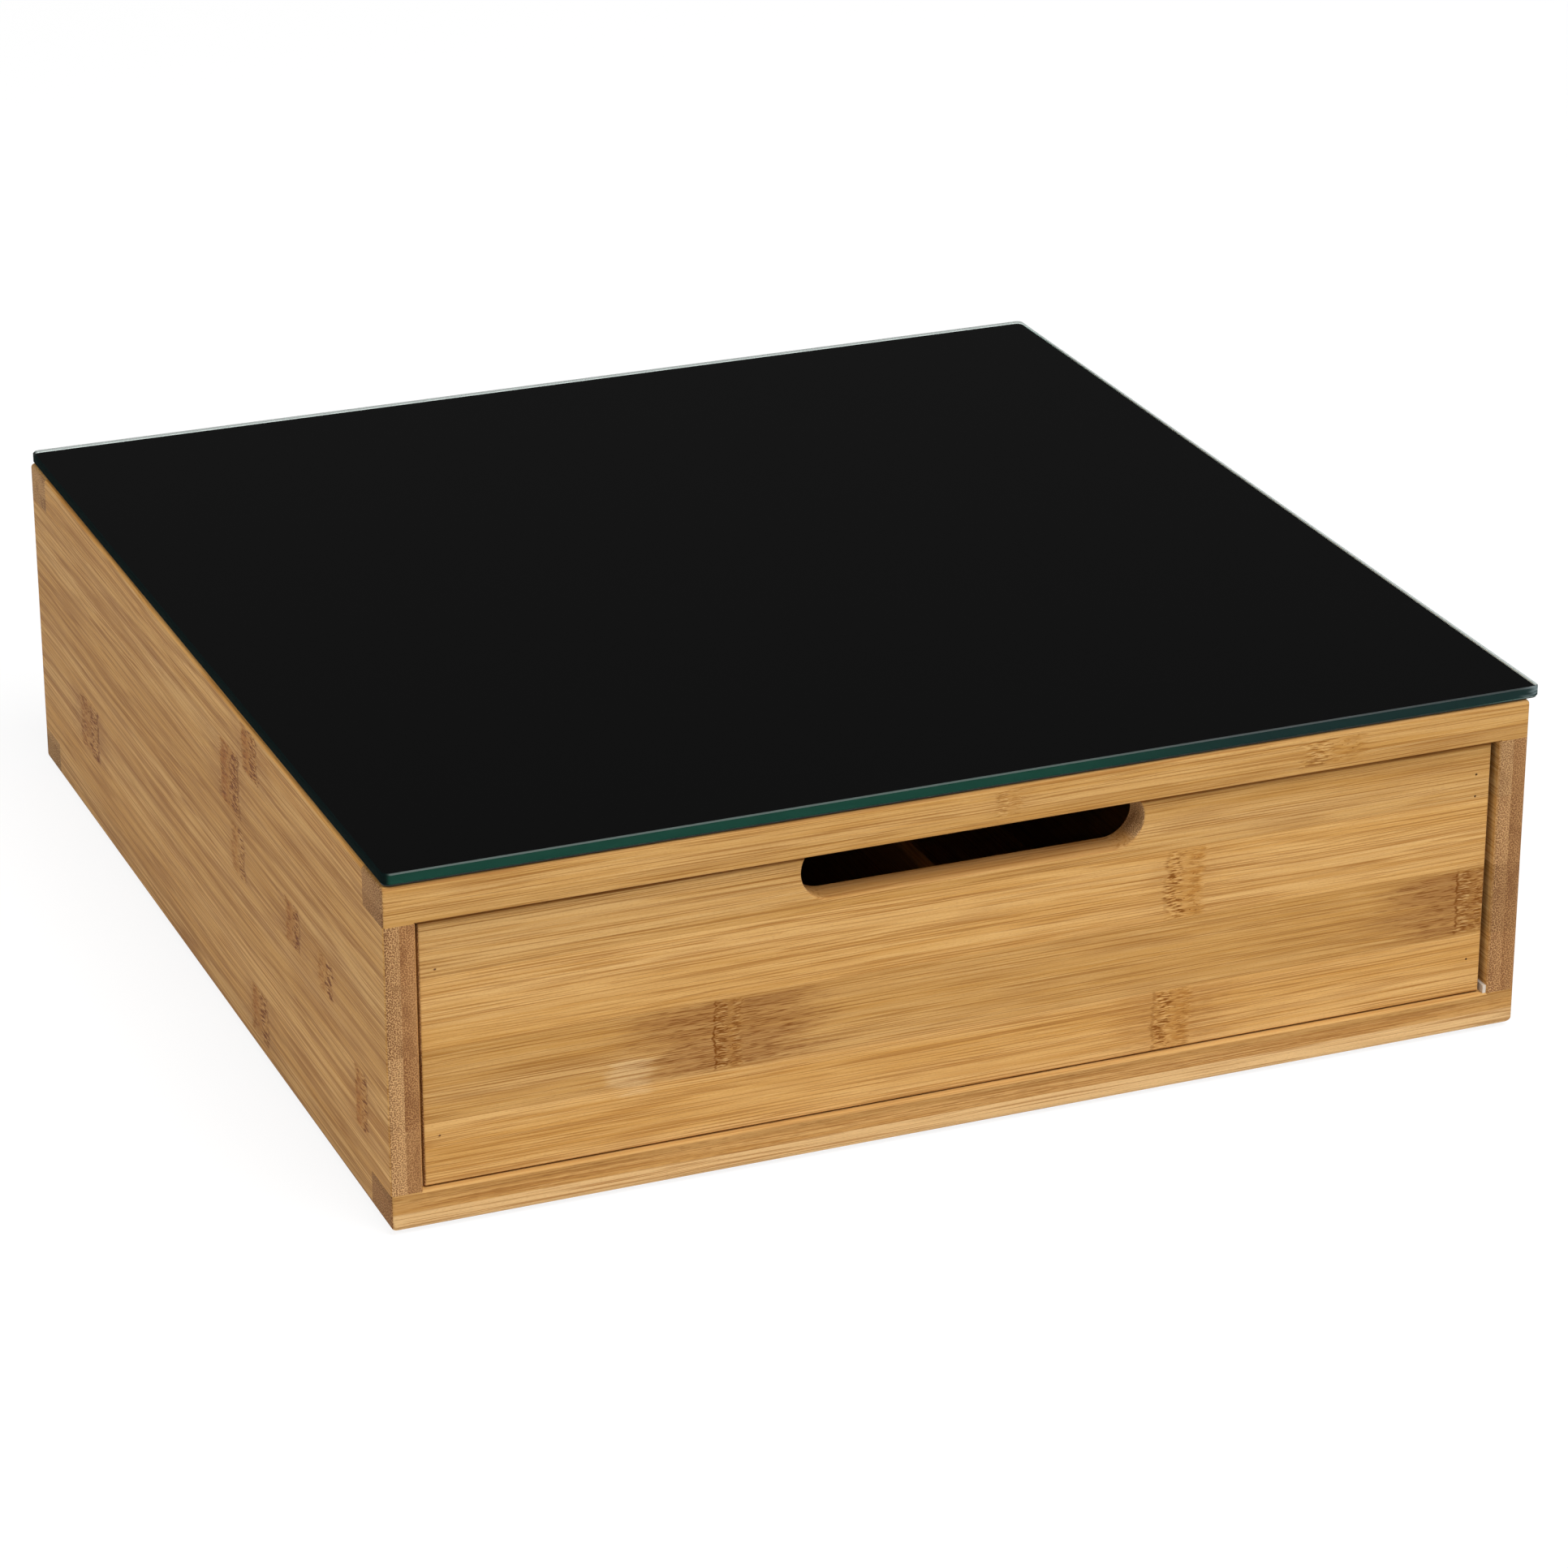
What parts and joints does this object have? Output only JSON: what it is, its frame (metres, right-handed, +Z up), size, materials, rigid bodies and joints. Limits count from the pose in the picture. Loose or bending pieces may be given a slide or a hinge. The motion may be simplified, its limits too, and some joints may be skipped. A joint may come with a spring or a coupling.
{
  "type": "coffee capsule drawer",
  "caption": "Low square bamboo box with a black glass top and a full-width sliding drawer with a finger notch, divided into lanes for coffee capsules.",
  "frame": {"origin": "on the surface that the pads stand on, below the middle of the whole width and depth", "axes": "+Z up, -Y the way the drawer opens, +X to the right of a person in front of the drawer"},
  "size_m": [0.3078, 0.315, 0.095],
  "materials": {
    "bamboo": "satin",
    "bamboo_panel": "satin",
    "glass": "polished",
    "black_coat": "gloss",
    "adhesive": "satin",
    "glide_strip": "satin",
    "anti_slip_pad": "matte",
    "pin": "satin"
  },
  "bodies": {
    "casing": {"left_side_panel": "bamboo", "right_side_panel": "bamboo", "top_front_rail": "bamboo", "bottom_front_rail": "bamboo", "top_back_rail": "bamboo", "bottom_back_rail": "bamboo", "back_panel": "bamboo_panel", "bottom_panel": "bamboo_panel", "top_panel": "bamboo_panel", "glass_top": "glass", "glass_backing": "black_coat", "glass_adhesive_pads": "adhesive", "left_glide_strip": "glide_strip", "right_glide_strip": "glide_strip", "anti_slip_pads": "anti_slip_pad"},
    "drawer": {"drawer_front": "bamboo", "drawer_left_side": "bamboo", "drawer_right_side": "bamboo", "drawer_back": "bamboo", "drawer_bottom": "bamboo_panel", "left_divider": "bamboo", "centre_divider": "bamboo", "right_divider": "bamboo", "drawer_front_pins": "pin", "drawer_back_pins": "pin"}
  },
  "joints": [
    {"name": "drawer_slide", "type": "slide", "parent": "casing", "child": "drawer", "axis": [0, -1, 0], "range_m": [0, 0.25]}
  ]
}
